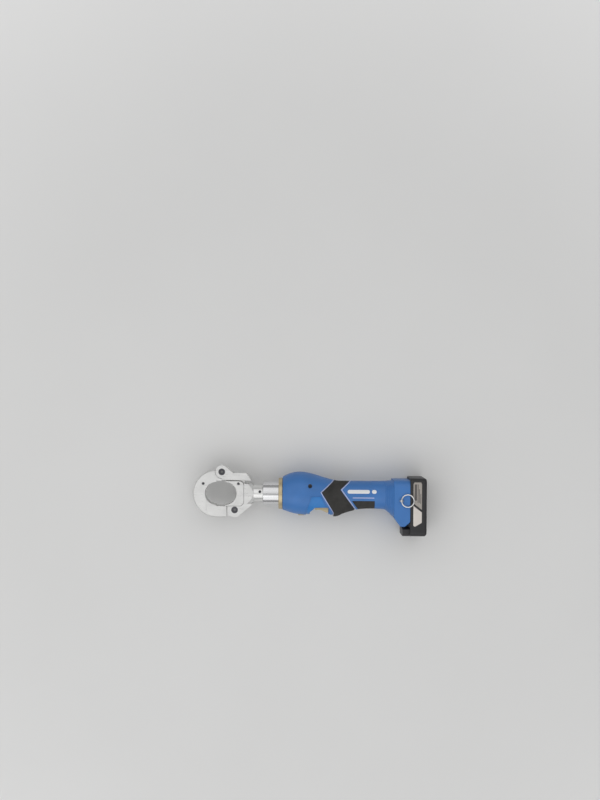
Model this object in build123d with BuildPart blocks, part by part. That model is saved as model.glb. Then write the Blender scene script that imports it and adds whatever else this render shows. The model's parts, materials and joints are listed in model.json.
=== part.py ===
from build123d import *
from math import cos, pi, radians, sin
from os import makedirs

# Inline battery crimping tool with a latched flip-top die head.
# The tool lies on its right side: head to -X, battery to +X, trigger to -Y, +Z up.
# All sizes are in millimetres.

# Die head
head_thickness = 30.0
jaw_radius = 42.0
jaw_bevel = 2.0
arm_ahead = 17.6
arm_step = 0.6
ring_depth = 21.5
stroke = 16.0
ram_lip = 1.5
ram_web = 12.5
ram_corner = 8.0
slide_gap = 0.6
edge_break = 0.8

# Hinge at the foot of the jaw and latch at its top
hinge_ahead = 16.0
hinge_inset = 12.7
ear_radius = 13.0
tongue_radius = 9.0
tongue_thickness = 14.0
cheek_gap = 0.3
knuckle_gap = 0.6
shoulder_gap = 1.6
tongue_room = 2.4
latch_pin_back = 9.6
latch_pin_inset = 3.5
boss_radius = 11.5
knuckle_radius = 11.0
pin_radius = 4.5
pin_fit = 0.05
pin_head_radius = 6.0
pin_head_height = 2.5
pin_socket_radius = 2.6
latch_step = 2.0
latch_arm_start = 20.1
latch_arm_room = 1.4
tab_length = 13.4
tab_room = 0.8
tab_slope = 8.8
catch_rise = 4.4
catch_back = 3.0
catch_length = 13.0
catch_engagement = 1.4
catch_clearance = 2.4
die_pin_radius = 2.4
die_pin_length = 9.0
die_pin_travel = 2.0
die_pin_sunk = 0.4
die_pin_offset = 3.0
die_pin_room = 1.2

# Yoke neck, cylinder and piston
bar_radius = 14.8
cone_length = 11.0
cone_rise = 8.6
shoulder_drop = 5.1
shoulder_length = 17.4
cylinder_radius = 21.5
yoke_length = 34.0
cylinder_shown = 28.4
cylinder_bore = 15.5
cylinder_length = 59.4
flange_radius = 25.0
flange_width = 4.0
spigot_length = 8.4
rod_radius = 9.0
rod_socket = 10.0
running_fit = 0.05
piston_length = 14.0
seal_width = 3.0
seal_depth = 3.0
wiper_width = 4.0
wiper_depth = 2.5
wiper_back = 6.0
lock_screw_radius = 2.5
lock_screw_length = 4.4
lock_screw_sunk = 0.8
lock_screw_rise = 3.6
lock_screw_ahead = 5.0
spring_wire = 2.4
spring_turns = 4.5
spring_gap = 0.9
quarters = 4
collar_radius = 28.0
collar_width = 7.4
collar_spigot = 5.0
collar_spigot_radius = 24.5
swivel_ring_width = 1.6

# Housing shells
housing_length = 226.2
wall = 3.0
flank_half_width = 37.8
foot_half_width = 38.0
foot_top = 27.0
foot_low = 55.0
foot_length = 29.0
foot_edge = 3.0
foot_crown = 12.0
foot_front_low = 38.5
foot_sole = 17.0
foot_heel = 9.0
foot_heel_rise = 7.5
flare_length = 14.0
flare_overlap = 3.0
rib_width = 3.0
cradle_reach = 8.0
recess_depth = 1.6
grip_sunk = 0.3
scoop_depth = 1.8
hump = 5.0
hump_back = 99.6
hump_reach = 30.0
station_pitch = 17.5
body_round = 0.58
flare_round = 0.70
foot_round = 0.84

# Pump, gear case and motor along the tool axis
block_radius = 20.5
block_share = 0.2568
block_flat = 15.5
block_spigot = 6.4
swivel_gap = 0.4
cam_radius = 6.5
cam_throw = 1.2
cam_width = 10.0
cam_bearing = 9.0
cam_room = 11.0
cam_depth = 19.0
cam_start = 4.0
shaft_radius = 4.0
shaft_pilot = 8.0
pilot_radius = 3.5
shaft_socket = 7.0
plunger_radius = 3.0
plug_radius = 5.0
plug_depth = 3.0
valve_radius = 5.0
valve_depth = 10.0
valve_stem = 1.5
valve_reach = 0.9
valve_back = 9.6
gear_radius = 19.5
gear_share = 0.1200
gear_flange = 6.0
pinion_radius = 4.0
pinion_length = 8.0
pinion_teeth = 12
pinion_cut = 0.26
motor_radius = 18.0
motor_wall = 1.5
armature_lead = 0.167
armature_share = 0.555
armature_radius = 12.5
air_gap = 0.6
magnet_gap = 2.4
pole_count = 10
pole_slot_circle = 10.0
pole_slot_depth = 6.2
rotor_shaft_radius = 2.5
commutator_length = 9.0
commutator_radius = 7.0
vent_circle = 11.5
vent_count = 6
vent_radius = 2.2
end_cap_length = 5.0
stack_gap = 0.4
bladder_thickness = 7.0
bladder_length = 32.0
bladder_arc = 61.0
bladder_corner = 2.3

# Trigger and release button
notch_length = 24.5
notch_depth = 23.4
notch_rake = 9.0
trigger_half_width = 19.0
trigger_low = 32.4
trigger_travel = 2.9
trigger_clearance = 0.4
trigger_tab = 1.6
trigger_round = 1.5
finger_hollow = 4.0
switch_length = 14.0
switch_height = 6.0
switch_width = 10.0
button_radius = 6.0
button_flange = 7.6
button_proud = 1.6
button_low = 37.2
button_seat = 1.5
button_travel = 2.5
button_gap = 0.3

# Screws
screw_radius = 1.7
screw_head_radius = 3.4
screw_head_height = 2.4
screw_recess_radius = 3.8
boss_outer = 5.6
block_screw_rise = 15.5
block_screw_ahead = 8.8
block_screw_seat = 27.0
block_pad = 13.6
block_screw_grip = 8.0
pad_gap = 0.2
foot_screw_ahead = 8.0
foot_screw_rise = 16.0
foot_screw_drop = 36.0

# Battery
battery_depth = 29.8
battery_half_width = 37.5
battery_top = 31.0
battery_low = 72.0
battery_wall = 2.5
battery_corner = 7.0
battery_edge = 5.0
battery_gap = 0.3
battery_split = 4.4
nose_length = 13.0
nose_height = 13.5
nose_half_width = 31.0
slot_depth = 17.0
rail_depth = 8.0
rail_half_width = 31.0
rail_neck = 27.0
rail_top = 21.0
rail_low = 50.0
rail_gap = 0.4
cell_radius = 9.2
cell_length = 65.0
cell_pitch = 19.0
cell_count = 5
blade_count = 4
blade_pitch = 9.0
blade_thickness = 0.8
blade_reach = 4.5
contact_wall = 0.8
contact_gap = 0.4
terminal_half_width = 20.0
terminal_thickness = 3.0
terminal_low = 6.0
terminal_top = 18.0
terminal_room = 1.6
latch_button_half_width = 12.0
latch_button_width = 10.0
latch_button_depth = 6.0
latch_button_travel = 2.5
latch_button_sunk = 0.4
cover_rim = 6.0
battery_board_rim = 9.0
board_thickness = 1.6

# Control board
board_ahead = 15.0
board_gap = 11.8
board_middle = -9.0
board_half = 15.0
board_half_width = 20.0
capacitor_radius = 4.0
capacitor_length = 14.0
capacitor_drop = 5.0
capacitor_pitch = 12.0
power_switch_count = 6
power_switch_rise = 8.0
power_switch_pitch = 6.0
power_switch_length = 10.0
power_switch_thickness = 2.4
power_switch_height = 7.0
plug_length = 18.0
plug_width = 8.0

# Strap ring
ring_radius = 11.0
ring_wire = 1.1
eye_ahead = 15.4
eye_drop = 8.8
eye_hole = 1.8
eye_length = 8.4
eye_width = 3.0
eye_rise = 2.6
eye_wall = 1.6

makedirs("parts", exist_ok=True)

# Die seats, ram, latch and yoke follow the radius of the jaw
seat_radius = jaw_radius - ring_depth
ram_half_height = seat_radius + ram_lip
ram_length = seat_radius + ram_web
channel = ram_half_height + slide_gap
die_pin_ahead = seat_radius + die_pin_offset
die_pin_rise = seat_radius - die_pin_offset
latch_pin_rise = jaw_radius - latch_pin_inset
latch_top = latch_pin_rise - latch_step
latch_arm_low = channel + latch_arm_room
tab_low = channel + tab_room
catch_top = channel + catch_rise
shoulder_height = channel - shoulder_drop

# Stations along the tool, from the tip of the jaw to the back of the battery
total_length = (
    jaw_radius + stroke + ram_length + yoke_length + cylinder_shown
    + collar_width + housing_length + battery_depth
)
jaw_x = jaw_radius - total_length / 2
ram_x = jaw_x + stroke
ram_back = ram_x + ram_length
cylinder_x = ram_back + yoke_length
collar_x = cylinder_x + cylinder_shown
housing_x = collar_x + collar_width
foot_back = housing_x + housing_length
foot_x = foot_back - foot_length
flare_x = foot_x - flare_length
slot_x = foot_back - slot_depth
cover_x = foot_back + battery_gap
split_x = cover_x + battery_split
battery_back = foot_back + battery_depth
hinge_x = ram_back - hinge_ahead
hinge_drop = jaw_radius - hinge_inset
latch_x = jaw_x + latch_pin_back
cylinder_back = cylinder_x + cylinder_length
block_x = cylinder_back + swivel_gap
block_length = block_share * housing_length
block_back = block_x + block_length
gear_x = block_back + stack_gap
gear_length = gear_share * housing_length
motor_x = gear_x + gear_length + stack_gap
board_x = slot_x - board_ahead
end_cap_x = board_x - capacitor_length - board_gap - end_cap_length
motor_length = end_cap_x - motor_x
armature_start = armature_lead * motor_length
armature_length = armature_share * motor_length

# Height of the tool axis in the lying frame, and the planes that everything is drawn on
axis_y = (battery_low - latch_pin_rise - boss_radius) / 2
mid_z = foot_half_width
half_head = head_thickness / 2
half_tongue = tongue_thickness / 2
shoulder_x = hinge_x - ear_radius - shoulder_gap
far = total_length
tool = Plane((0, axis_y, mid_z))
tool_axis = Axis((0, axis_y, mid_z), (1, 0, 0))


def across(x):
    """Plane square to the tool axis: its x runs up the tool (+Y) and its y runs across it (+Z)."""
    return Plane((x, axis_y, mid_z), x_dir=(0, 1, 0), z_dir=(1, 0, 0))


def upright(x, y):
    """Plane square to +Y at a height over the tool axis: its x runs across the tool, its y along it."""
    return Plane((x, axis_y + y, mid_z), x_dir=(0, 0, 1), z_dir=(0, 1, 0))


def save(piece, name):
    """Names a finished piece and writes it to its own file."""
    piece.part.label = name
    export_step(piece.part, f"parts/{name}.step")


def rod(x, length, radius, mode=Mode.ADD):
    """Round bar or bore on the tool axis."""
    with BuildSketch(across(x)) as disc:
        Circle(radius)
    extrude(disc.sketch, amount=length, mode=mode)


def cross_pin(x, y, radius, half_length, mode=Mode.ADD):
    """Round pin or bore across the tool, centred on its middle plane."""
    with BuildSketch(tool) as disc:
        with Locations((x, y)):
            Circle(radius)
    extrude(disc.sketch, amount=half_length, both=True, mode=mode)


def counterbores(x, y, radius, depth, face):
    """Round recesses on both faces of a plate that lies on the middle plane."""
    for side in (1, -1):
        with BuildSketch(tool.offset(side * face)) as disc:
            with Locations((x, y)):
                Circle(radius)
        extrude(disc.sketch, amount=-side * depth, mode=Mode.SUBTRACT)


# Yoke: flat cheeks with two hinge ears, a catch for the latch and a turned neck
neck_x = ram_back + shoulder_length
cone_x = neck_x - cone_length
lock_screw_top = bar_radius - lock_screw_sunk
yoke_face = ram_back + slide_gap
catch_x = ram_back - catch_back
catch_root = catch_top - catch_engagement - cheek_gap
hook_x = catch_x + catch_clearance
tab_x = ram_back + tab_length
tab_inner = tab_x - tab_slope - slide_gap
wiper_x = ram_back + wiper_back
lock_screw_x = cylinder_x - lock_screw_ahead
with BuildPart() as yoke:
    with BuildSketch(tool):
        with Locations((hinge_x, -hinge_drop)):
            Circle(ear_radius)
        with Locations(((yoke_face + neck_x) / 2, 0)):
            Rectangle(neck_x - yoke_face, 2 * shoulder_height)
        make_hull()
        with Locations((yoke_face - far / 2, 0)):
            RectangleRounded(far, 2 * channel, ram_corner + slide_gap, mode=Mode.SUBTRACT)
        with Locations((yoke_face - far / 2, far / 2)):
            Rectangle(far, far, mode=Mode.SUBTRACT)
    extrude(amount=half_head, both=True)
    with BuildSketch(tool):
        with BuildLine():
            Polyline(
                (neck_x, bar_radius),
                (cone_x, bar_radius + cone_rise),
                (neck_x, bar_radius + cone_rise),
                close=True,
            )
        make_face()
    revolve(axis=tool_axis, mode=Mode.SUBTRACT)
    rod(neck_x, cylinder_x - neck_x, bar_radius)
    with BuildSketch(tool):
        with BuildLine():
            Polyline(
                (tab_inner - catch_clearance, channel - ram_corner - slide_gap),
                (tab_inner - catch_clearance, catch_root),
                (catch_x, catch_root),
                (catch_x, catch_top),
                (catch_x - catch_length, catch_top),
                (catch_x - catch_length, channel),
                (ram_back - ram_corner, channel),
            )
            RadiusArc(
                (ram_back - ram_corner, channel),
                (yoke_face, channel - ram_corner - slide_gap),
                ram_corner + slide_gap,
            )
            Line(
                (yoke_face, channel - ram_corner - slide_gap),
                (tab_inner - catch_clearance, channel - ram_corner - slide_gap),
            )
        make_face()
    extrude(amount=half_tongue, both=True)
    with BuildSketch(tool):
        with Locations((hinge_x, -hinge_drop)):
            Circle(tongue_radius + tongue_room)
        with Locations((hinge_x + tongue_radius + tongue_room - far / 2, -hinge_drop - far / 2)):
            Rectangle(far, far)
        with Locations((hinge_x - far / 2, -hinge_drop)):
            Rectangle(far, 2 * (hinge_drop - channel + slide_gap))
    extrude(amount=half_tongue + cheek_gap, both=True, mode=Mode.SUBTRACT)
    cross_pin(hinge_x, -hinge_drop, pin_radius, half_head, Mode.SUBTRACT)
    counterbores(hinge_x, -hinge_drop, pin_head_radius, pin_head_height, half_head)
    rod(cylinder_x, spigot_length, cylinder_bore)
    rod(yoke_face, far / 4, rod_radius + running_fit, Mode.SUBTRACT)
    rod(wiper_x, wiper_width, rod_radius + wiper_depth, Mode.SUBTRACT)
    with BuildSketch(tool.offset(lock_screw_top - lock_screw_length)):
        with Locations((lock_screw_x, lock_screw_rise)):
            Circle(lock_screw_radius)
    extrude(amount=lock_screw_length + lock_screw_sunk, mode=Mode.SUBTRACT)
save(yoke, "yoke")

with BuildPart() as rod_wiper:
    rod(wiper_x, wiper_width, rod_radius + wiper_depth)
    rod(wiper_x, wiper_width, rod_radius + running_fit, Mode.SUBTRACT)
save(rod_wiper, "rod_wiper")

with BuildPart() as lock_screw:
    with BuildSketch(tool.offset(lock_screw_top - lock_screw_length)):
        with Locations((lock_screw_x, lock_screw_rise)):
            Circle(lock_screw_radius)
    extrude(amount=lock_screw_length)
    with BuildSketch(tool.offset(lock_screw_top)):
        with Locations((lock_screw_x, lock_screw_rise)):
            RegularPolygon(lock_screw_radius / 2, 6)
    extrude(amount=-lock_screw_radius, mode=Mode.SUBTRACT)
save(lock_screw, "neck_lock_screw")


def headed_pin(x, y):
    """Pin with a socket head flush in one cheek and a plain end for its clip in the other."""
    with BuildPart() as pin:
        cross_pin(x, y, pin_radius, half_head)
        with BuildSketch(tool.offset(half_head)):
            with Locations((x, y)):
                Circle(pin_head_radius)
        extrude(amount=-pin_head_height)
        with BuildSketch(tool.offset(half_head)):
            with Locations((x, y)):
                RegularPolygon(pin_socket_radius, 6)
        extrude(amount=-pin_head_height, mode=Mode.SUBTRACT)
    return pin


def pin_clip(x, y):
    """Spring clip round the plain end of a pin, with its gap to the head of the tool."""
    with BuildPart() as clip:
        with BuildSketch(tool.offset(-half_head)):
            with Locations((x, y)):
                Circle(pin_head_radius)
                Circle(pin_radius, mode=Mode.SUBTRACT)
            with Locations((x - pin_head_radius, y)):
                Rectangle(pin_head_radius, pin_radius, mode=Mode.SUBTRACT)
        extrude(amount=pin_head_height)
    return clip


hinge_pin = headed_pin(hinge_x, -hinge_drop)
save(hinge_pin, "hinge_pin")
hinge_clip = pin_clip(hinge_x, -hinge_drop)
save(hinge_clip, "hinge_pin_clip")

# Swing jaw: a half ring with the fixed die seat, a hinge tongue below and a latch knuckle above
with BuildPart() as jaw:
    with BuildSketch(tool):
        with BuildLine():
            CenterArc((jaw_x, 0), jaw_radius, 90, 180)
            Polyline(
                (jaw_x, -jaw_radius),
                (shoulder_x, -jaw_radius),
                (shoulder_x, -channel),
                (jaw_x, -channel),
                (jaw_x, -seat_radius),
            )
            CenterArc((jaw_x, 0), seat_radius, -90, -180)
            Polyline(
                (jaw_x, seat_radius),
                (jaw_x, channel),
                (latch_x, channel),
                (latch_x, latch_pin_rise),
                (jaw_x, jaw_radius),
            )
        make_face()
        with Locations((latch_x, latch_pin_rise)):
            Circle(boss_radius + knuckle_gap, mode=Mode.SUBTRACT)
    extrude(amount=half_head, both=True)
    rim = jaw.edges().filter_by(GeomType.CIRCLE).filter_by(lambda e: abs(e.radius - jaw_radius) < edge_break)
    chamfer(rim, jaw_bevel)
    with BuildSketch(tool):
        with Locations((hinge_x, -hinge_drop)):
            Circle(tongue_radius)
        with Locations((shoulder_x - edge_break, -(jaw_radius + channel) / 2)):
            Rectangle(2 * edge_break, jaw_radius - channel)
        make_hull()
        with Locations((hinge_x, 0)):
            Rectangle(far, 2 * channel, mode=Mode.SUBTRACT)
        with BuildLine():
            Polyline(
                (jaw_x, channel),
                (latch_x, channel),
                (latch_x, latch_pin_rise),
                (jaw_x, jaw_radius - jaw_bevel),
                close=True,
            )
        make_face()
        with Locations((latch_x, latch_pin_rise)):
            Circle(knuckle_radius)
    extrude(amount=half_tongue, both=True)
    for side in (1, -1):
        with BuildSketch(tool.offset(side * half_head)):
            with Locations((jaw_x - arm_ahead + far / 2, -far / 2)):
                Rectangle(far, far)
        extrude(amount=-side * arm_step, mode=Mode.SUBTRACT)
    cross_pin(hinge_x, -hinge_drop, pin_radius + pin_fit, half_head, Mode.SUBTRACT)
    cross_pin(latch_x, latch_pin_rise, pin_radius + pin_fit, half_head, Mode.SUBTRACT)
    with BuildSketch(tool.offset(half_head)):
        with Locations((jaw_x - die_pin_ahead, die_pin_rise)):
            Circle(die_pin_radius + pin_fit)
    extrude(amount=-(die_pin_length + die_pin_travel + die_pin_room), mode=Mode.SUBTRACT)
save(jaw, "swing_jaw")

# Latch lever: two cheeks over the knuckle, joined by a web, a hook and a finger tab
with BuildPart() as latch:
    with BuildSketch(tool):
        with Locations((latch_x, latch_pin_rise)):
            Circle(boss_radius)
        with BuildLine():
            Polyline(
                (latch_x, latch_arm_low + slide_gap),
                (hook_x, latch_arm_low),
                (tab_inner, tab_low),
                (tab_x, tab_low),
                (tab_x - tab_slope, latch_top),
                (latch_x + latch_arm_start, latch_top),
                (latch_x + boss_radius * cos(pi / 4), latch_pin_rise + boss_radius * sin(pi / 4)),
                (latch_x, latch_pin_rise),
                close=True,
            )
        make_face()
        with Locations((latch_x - boss_radius, 0)):
            Rectangle(2 * boss_radius, 2 * (latch_pin_rise - boss_radius), mode=Mode.SUBTRACT)
    extrude(amount=half_head, both=True)
    with BuildSketch(tool):
        with Locations((latch_x, latch_pin_rise)):
            Circle(knuckle_radius + knuckle_gap)
        with Locations((hook_x - far / 2, catch_top + cheek_gap - far / 2)):
            Rectangle(far, far)
        with Locations((tab_inner - far / 2, catch_root + cheek_gap - far / 2)):
            Rectangle(far, far)
    extrude(amount=half_tongue + cheek_gap, both=True, mode=Mode.SUBTRACT)
    cross_pin(latch_x, latch_pin_rise, pin_radius, half_head, Mode.SUBTRACT)
    counterbores(latch_x, latch_pin_rise, pin_head_radius, pin_head_height, half_head)
save(latch, "latch_lever")

latch_pin = headed_pin(latch_x, latch_pin_rise)
save(latch_pin, "latch_pin")
latch_clip = pin_clip(latch_x, latch_pin_rise)
save(latch_clip, "latch_pin_clip")

# Ram head with the moving die seat, and a relief below it for the turning hinge tongue
relief_x = ram_x + slide_gap + wall
relief_y = tongue_radius + slide_gap - hinge_drop
with BuildPart() as ram_head:
    with BuildSketch(tool):
        with Locations((ram_back - far / 2, 0)):
            RectangleRounded(far, 2 * ram_half_height, ram_corner)
        with Locations((ram_x - far / 2, 0)):
            Rectangle(far, far, mode=Mode.SUBTRACT)
        with Locations((ram_x, 0)):
            Circle(seat_radius, mode=Mode.SUBTRACT)
    extrude(amount=half_head, both=True)
    with BuildSketch(tool):
        with Locations((relief_x + far / 2, relief_y - far / 2)):
            Rectangle(far, far)
    extrude(amount=half_tongue + slide_gap, both=True, mode=Mode.SUBTRACT)
    rod(ram_back - rod_socket, rod_socket, rod_radius, Mode.SUBTRACT)
    with BuildSketch(tool.offset(half_head)):
        with Locations((ram_x + die_pin_ahead, die_pin_rise)):
            Circle(die_pin_radius + pin_fit)
    extrude(amount=-(die_pin_length + die_pin_travel + die_pin_room), mode=Mode.SUBTRACT)
save(ram_head, "ram_head")


def die_pin(x):
    """Sprung pin that is pushed in to let a die out of its seat."""
    with BuildPart() as pin:
        with BuildSketch(tool.offset(half_head - die_pin_sunk)):
            with Locations((x, die_pin_rise)):
                Circle(die_pin_radius)
        extrude(amount=-die_pin_length)
        chamfer(pin.faces().sort_by(Axis.Z)[-1].edges(), die_pin_sunk)
    return pin


jaw_die_pin = die_pin(jaw_x - die_pin_ahead)
save(jaw_die_pin, "jaw_die_pin")
ram_die_pin = die_pin(ram_x + die_pin_ahead)
save(ram_die_pin, "ram_die_pin")

# Piston with its rod, seal and return spring
piston_x = block_x - block_spigot - swivel_gap - piston_length
seal_x = piston_x + (piston_length - seal_width) / 2
with BuildPart() as piston:
    rod(ram_back - rod_socket, piston_x - ram_back + rod_socket, rod_radius)
    rod(piston_x, piston_length, cylinder_bore - running_fit)
    with BuildSketch(across(seal_x)):
        Circle(cylinder_bore)
        Circle(cylinder_bore - seal_depth, mode=Mode.SUBTRACT)
    extrude(amount=seal_width, mode=Mode.SUBTRACT)
save(piston, "piston")

with BuildPart() as piston_seal:
    rod(seal_x, seal_width, cylinder_bore - running_fit)
    rod(seal_x, seal_width, cylinder_bore - seal_depth, Mode.SUBTRACT)
save(piston_seal, "piston_seal")


def coil_point(start, length, radius, turns, share):
    """Point at a share of the way along a coil round the tool axis."""
    angle = 2 * pi * turns * share
    return (start + length * share, axis_y + radius * cos(angle), mid_z + radius * sin(angle))


spring_x = cylinder_x + spigot_length + spring_wire / 2
spring_length = piston_x - spring_wire / 2 - spring_x
spring_radius = cylinder_bore - spring_wire / 2 - spring_gap
arcs = int(quarters * spring_turns)
with BuildPart() as return_spring:
    with BuildLine() as coil:
        for step in range(arcs):
            ThreePointArc(
                coil_point(spring_x, spring_length, spring_radius, spring_turns, step / arcs),
                coil_point(spring_x, spring_length, spring_radius, spring_turns, (step + 0.5) / arcs),
                coil_point(spring_x, spring_length, spring_radius, spring_turns, (step + 1) / arcs),
            )
    with BuildSketch(Plane(coil.line @ 0, z_dir=coil.line % 0)):
        Circle(spring_wire / 2)
    sweep(path=coil.line)
save(return_spring, "return_spring")
print("return spring gap between turns", round(spring_length / spring_turns - spring_wire, 2))

# Cylinder, with the flange that holds the swivelling head in the body
flange_x = housing_x + collar_spigot + swivel_ring_width + running_fit
with BuildPart() as cylinder:
    rod(cylinder_x, cylinder_length, cylinder_radius)
    rod(flange_x, flange_width, flange_radius)
    rod(cylinder_x, cylinder_length, cylinder_bore, Mode.SUBTRACT)
    chamfer(cylinder.edges().group_by(Axis.X)[0].sort_by(SortBy.RADIUS)[-1], edge_break)
save(cylinder, "cylinder")

with BuildPart() as swivel_ring:
    rod(housing_x + collar_spigot, swivel_ring_width, flange_radius)
    rod(housing_x + collar_spigot, swivel_ring_width, cylinder_radius + running_fit, Mode.SUBTRACT)
save(swivel_ring, "swivel_ring")

with BuildPart() as collar:
    rod(collar_x, collar_width, collar_radius)
    chamfer(collar.edges(), edge_break)
    rod(housing_x, collar_spigot, collar_spigot_radius)
    rod(collar_x, collar_width + collar_spigot, cylinder_radius + 2 * running_fit, Mode.SUBTRACT)
save(collar, "front_collar")

# Housing sections at even stations: height over and under the tool axis, and half width
barrel_sections = [
    (30.2, 29.0, 30.2),
    (37.6, 34.6, 36.0),
    (39.1, 37.6, flank_half_width),
    (36.1, 38.8, 36.6),
    (30.9, 39.4, 33.1),
    (26.0, 38.0, 28.9),
    (23.9, 33.0, 25.7),
]
handle_sections = [
    (23.9, 33.0, 25.7),
    (23.6, 26.8, 23.4),
    (24.0, 27.2, 24.0),
]
flare_sections = [
    (24.0, 27.2, 24.0, body_round),
    (24.8, 34.2, 30.2, flare_round),
    (26.5, 42.0, 36.8, foot_round),
]
barrel_length = station_pitch * (len(barrel_sections) - 1)
handle_pitch = (flare_x - housing_x - barrel_length) / (len(handle_sections) - 1)


def half_section(x, top, low, half_width, fullness, side):
    """Half of a moulded section, from the parting plane out to one flank."""
    flank = side * half_width
    with BuildSketch(across(x)) as section:
        with BuildLine():
            Bezier((top, 0), (top, fullness * flank), (fullness * top, flank), (0, flank))
            Bezier((0, flank), (-fullness * low, flank), (-low, fullness * flank), (-low, 0))
            Line((-low, 0), (top, 0))
        make_face()
    return section.sketch


def body_loft(start, pitch, table, side, inset, swell):
    """Smooth half form through evenly spaced sections, drawn in by an inset."""
    sections = []
    for number, (top, low, half_width) in enumerate(table):
        back = start + number * pitch
        drop = swell * max(0.0, 1 - abs(back - hump_back) / hump_reach)
        size = (top - inset, low - inset + drop, half_width - inset)
        sections.append(half_section(housing_x + back, *size, body_round, side))
    loft(sections)


def body_form(side, inset, swell=0.0):
    """Half of the moulded body from the collar to the flare, drawn in by an inset."""
    with BuildPart() as form:
        body_loft(0.0, station_pitch, barrel_sections, side, inset, swell)
        body_loft(barrel_length, handle_pitch, handle_sections, side, inset, swell)
    return form.part


def foot_form(side, inset):
    """Half of the flared foot that carries the battery, drawn in by an inset."""
    flare_pitch = (flare_length + flare_overlap) / (len(flare_sections) - 1)
    sections = []
    for number, (top, low, half_width, fullness) in enumerate(flare_sections):
        size = (top - inset, low - inset, half_width - inset)
        sections.append(half_section(flare_x + number * flare_pitch, *size, fullness, side))
    with BuildPart() as form:
        with BuildSketch(tool):
            with BuildLine():
                Polyline(
                    (foot_x, foot_top - inset),
                    (foot_back, foot_top - inset),
                    (foot_back, -foot_low + foot_heel_rise + inset),
                    (foot_back - foot_heel, -foot_low + inset),
                    (foot_back - foot_sole, -foot_low + inset),
                    (foot_x, -foot_front_low + inset),
                    close=True,
                )
            make_face()
        extrude(amount=side * (foot_half_width - inset))
        flank = form.faces().sort_by(Axis.Z)[-1 if side > 0 else 0]
        fillet(flank.edges().sort_by(Axis.X)[:-1].sort_by(Axis.Y)[:-1], foot_edge)
        with BuildSketch(across(foot_x)) as crown:
            with Locations((foot_top - inset - far / 2, 0)):
                RectangleRounded(far, 2 * (foot_half_width - inset), foot_crown)
        extrude(crown.sketch, amount=foot_length, mode=Mode.INTERSECT)
        loft(sections)
    return form.part


# Trigger notch under the pump, and the outlines of the grip, the pad behind it and the scoop by the trigger
notch_back = block_back
notch_x = notch_back - notch_length
notch_front = notch_x - notch_rake - wall


def station(share, y):
    """Point over the tool axis at a share of the way along the housing."""
    return (housing_x + share * housing_length, y)


grip_outline = [
    station(0.479, 40.0),
    station(0.307, 4.3),
    station(0.406, -33.0),
    station(0.400, -60.0),
    station(0.502, -60.0),
    station(0.570, -26.5),
    station(0.456, 9.0),
    station(0.608, 40.0),
]
pad_outline = [
    station(0.546, -11.0),
    station(0.727, -11.0),
    station(0.730, -40.0),
    station(0.640, -40.0),
]
scoop_outline = [
    (notch_x - 15.8, -60.0),
    (notch_x - 15.8, -30.0),
    (notch_x - 6.4, -2.0),
    (notch_x + 11.0, -2.0),
    (notch_x + 27.5, -36.0),
    (notch_x + 27.5, -60.0),
]
trigger_front = notch_x + trigger_clearance
trigger_back = notch_back - trigger_clearance
button_x = block_x + valve_back
block_screw_x = notch_x - block_screw_ahead
foot_screw_x = slot_x - foot_screw_ahead
foot_screws = [(foot_screw_x, foot_screw_rise), (foot_screw_x, -foot_screw_drop)]


def prism(outline, side):
    """Straight prism over a side outline, from the parting plane past one flank."""
    with BuildSketch(tool) as face:
        with BuildLine():
            Polyline(*outline, close=True)
        make_face()
    extrude(face.sketch, amount=side * 2 * foot_half_width, mode=Mode.INTERSECT)


def rib(x, radius, reach):
    """Half ring left standing in the hollow, up to a reach, to carry a round piece on the tool axis."""
    with BuildSketch(across(x)) as ring:
        Rectangle(2 * reach, far)
        Circle(radius, mode=Mode.SUBTRACT)
    extrude(ring.sketch, amount=rib_width, mode=Mode.SUBTRACT)


def hollow(side):
    """Room inside one shell, less the ribs, bosses and walls that stand in it."""
    with BuildPart() as room:
        add(body_form(side, wall))
        add(foot_form(side, wall))
        with BuildSketch(across(housing_x)):
            Rectangle(far, far)
        extrude(amount=wall, mode=Mode.SUBTRACT)
        with BuildSketch(across(slot_x - wall)):
            Rectangle(far, far)
        extrude(amount=far, mode=Mode.SUBTRACT)
        with BuildSketch(tool):
            with Locations(((notch_front + notch_back + wall) / 2, -notch_depth + wall - far / 2)):
                Rectangle(notch_back + wall - notch_front, far)
        extrude(amount=far, both=True, mode=Mode.SUBTRACT)
        rib(block_x + wall, block_radius, cradle_reach)
        rib(block_back - 2 * wall, block_radius, cradle_reach)
        rib(gear_x + wall / 2, gear_radius, far)
        rib(motor_x + wall, motor_radius, far)
        rib(end_cap_x - 2 * wall, motor_radius, far)
        with BuildSketch(across(board_x + board_thickness)):
            Rectangle(far, far)
            with Locations((board_middle, 0)):
                Rectangle(2 * (board_half - wall), 2 * (board_half_width - wall), mode=Mode.SUBTRACT)
        extrude(amount=rib_width, mode=Mode.SUBTRACT)
        with BuildSketch(tool):
            with Locations(*foot_screws):
                Circle(boss_outer)
        extrude(amount=side * far, mode=Mode.SUBTRACT)
        with BuildSketch(tool.offset(side * (block_pad + pad_gap))):
            with Locations((block_screw_x, block_screw_rise)):
                Circle(boss_outer)
        extrude(amount=side * far, mode=Mode.SUBTRACT)
    return room.part


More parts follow.
